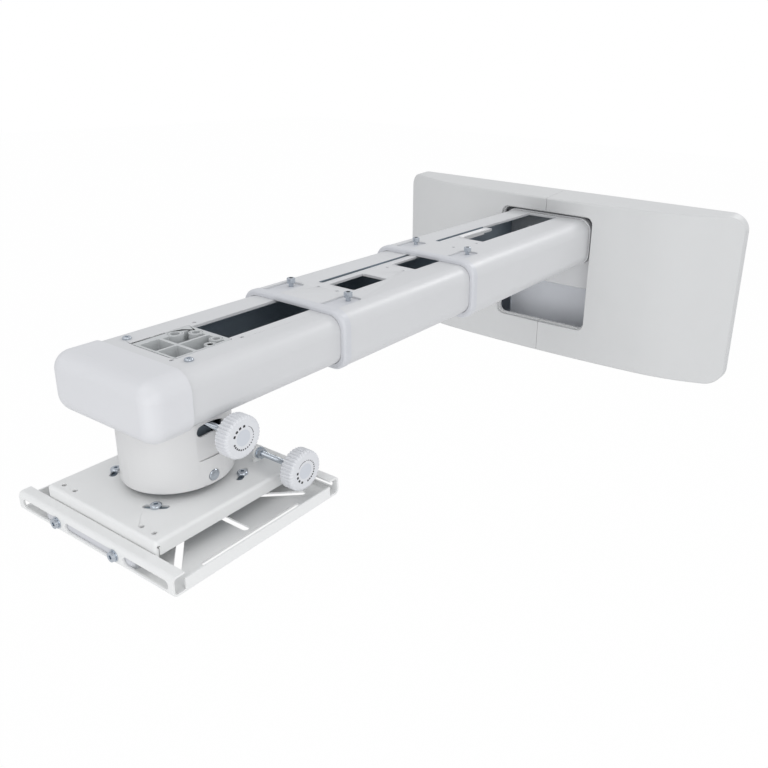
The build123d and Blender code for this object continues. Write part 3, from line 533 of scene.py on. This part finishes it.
# Head plate: a folded steel pan under the housing, powder coated, with relief cuts at its
# corners. Button head bolts in arc slots hold it to the turntable, and a nut keeps the yaw
# screw in its lug.
# The pan and the tray are painted lighter than the arm's same powder coat: painted light for their shaded
# sides and front.
plate_paint_and_painted_light = finish_material("plate_paint_and_painted_light", (0.80, 0.805, 0.80), 0.36, mottle=0.02, grain=1300)
eased_copy("head_plate", "head", "arm_paint", plate_paint_and_painted_light)
eased_copy("head_bolts", "roll", "zinc_steel", bright_zinc, width=0.00015)
eased_copy("yaw_nut", "head", "zinc_steel", bright_zinc, width=0.00015)

# Slide bars, washers and rail screws: two moulded bars screwed to the pan's long flanges. The
# tray's rails run over them and its slots on the screws.
eased_copy("slide_bar_front", "head", "moulding", collar_plastic, width=0.0)
eased_copy("slide_bar_rear", "head", "moulding", collar_plastic, width=0.0)
eased_copy("rail_washers", "head", "zinc_steel", bright_zinc, width=0.0001)
eased_copy("rail_screws", "head", "zinc_steel", bright_zinc, width=0.00015)

# Tray: one steel sheet folded into two slotted rails and two low end lips, powder coated, with
# a floor slotted for the projector's own screws. Its paint is made lighter than the arm's, as
# painted light for its shaded sides.
eased_copy("tray", "tray", "arm_paint", plate_paint_and_painted_light)

# Floor, light and camera: a pale floor well below the arm, an even white surround, and the
# camera at the photograph's place and angle.
floor_level = -0.68
floor_glow_share = 0.985
bpy.ops.object.select_all(action="DESELECT")
bpy.ops.mesh.primitive_plane_add(size=16, location=(0, 0, floor_level))
floor = bpy.context.active_object
floor.name = "floor"
floor_finish = bpy.data.materials.new("floor_finish")
floor_finish.use_nodes = True
tree = floor_finish.node_tree
paper = tree.nodes["Principled BSDF"]
paper.inputs["Base Color"].default_value = (0.86, 0.86, 0.86, 1)
paper.inputs["Roughness"].default_value = 0.9
glow = tree.nodes.new("ShaderNodeEmission")
glow.inputs["Color"].default_value = (1, 1, 1, 1)
glow.inputs["Strength"].default_value = 1.0
rays = tree.nodes.new("ShaderNodeLightPath")
seen = tree.nodes.new("ShaderNodeMath")
seen.operation = "MULTIPLY"
seen.inputs[1].default_value = floor_glow_share
blend = tree.nodes.new("ShaderNodeMixShader")
tree.links.new(rays.outputs["Is Camera Ray"], seen.inputs[0])
tree.links.new(seen.outputs[0], blend.inputs[0])
tree.links.new(paper.outputs[0], blend.inputs[1])
tree.links.new(glow.outputs[0], blend.inputs[2])
tree.links.new(blend.outputs[0], tree.nodes["Material Output"].inputs["Surface"])
floor.data.materials.append(floor_finish)

world = bpy.data.worlds.new("surround")
bpy.context.scene.world = world
world.use_nodes = True
tree = world.node_tree
sky = tree.nodes["Background"]
sky.inputs["Color"].default_value = (0.97, 0.98, 1.0, 1)
sky.inputs["Strength"].default_value = 0.74
white = tree.nodes.new("ShaderNodeBackground")
white.inputs["Color"].default_value = (1, 1, 1, 1)
white.inputs["Strength"].default_value = 1.0
rays = tree.nodes.new("ShaderNodeLightPath")
blend = tree.nodes.new("ShaderNodeMixShader")
tree.links.new(rays.outputs["Is Camera Ray"], blend.inputs[0])
tree.links.new(sky.outputs[0], blend.inputs[1])
tree.links.new(white.outputs[0], blend.inputs[2])
tree.links.new(blend.outputs[0], tree.nodes["World Output"].inputs["Surface"])

for name, place, aim, size, power in (
    ("key", (-0.33, -1.76, 1.87), (0, -0.33, 0), 1.76, 7.8),
    ("fill", (1.87, -1.1, 0.66), (0, -0.33, 0), 1.54, 9.0),
    ("low", (0.55, -2.1, -0.1), (0, -0.4, 0), 1.2, 5),
    ("edge", (0.45, 0.9, 1.0), (0, -0.33, 0), 0.5, 4.5),
):
    lamp_data = bpy.data.lights.new(name, "AREA")
    lamp_data.size = size
    lamp_data.energy = power
    lamp = bpy.data.objects.new(name, lamp_data)
    bpy.context.scene.collection.objects.link(lamp)
    lamp.location = place
    lamp.rotation_euler = (Vector(aim) - Vector(place)).to_track_quat("-Z", "Y").to_euler()

camera_place = (0.4156, -0.8998, 0.2593)
turn = radians(31.41)
tip = radians(19.32)
lean = radians(2.47)
forward = Vector((-sin(turn) * cos(tip), cos(turn) * cos(tip), -sin(tip)))
level = Vector((cos(turn), sin(turn), 0))
upward = level.cross(forward)
right = cos(lean) * level + sin(lean) * upward
up = -sin(lean) * level + cos(lean) * upward
camera_data = bpy.data.cameras.new("camera")
camera_data.sensor_width = 36
camera_data.lens = 35.78
camera_data.shift_x = -0.1132
camera_data.shift_y = -0.0766
camera_data.clip_start = 0.01
camera = bpy.data.objects.new("camera", camera_data)
bpy.context.scene.collection.objects.link(camera)
facing = Matrix((right, up, -forward)).transposed().to_4x4()
camera.matrix_world = Matrix.Translation(camera_place) @ facing
bpy.context.scene.camera = camera
bpy.context.scene.view_settings.view_transform = "Standard"
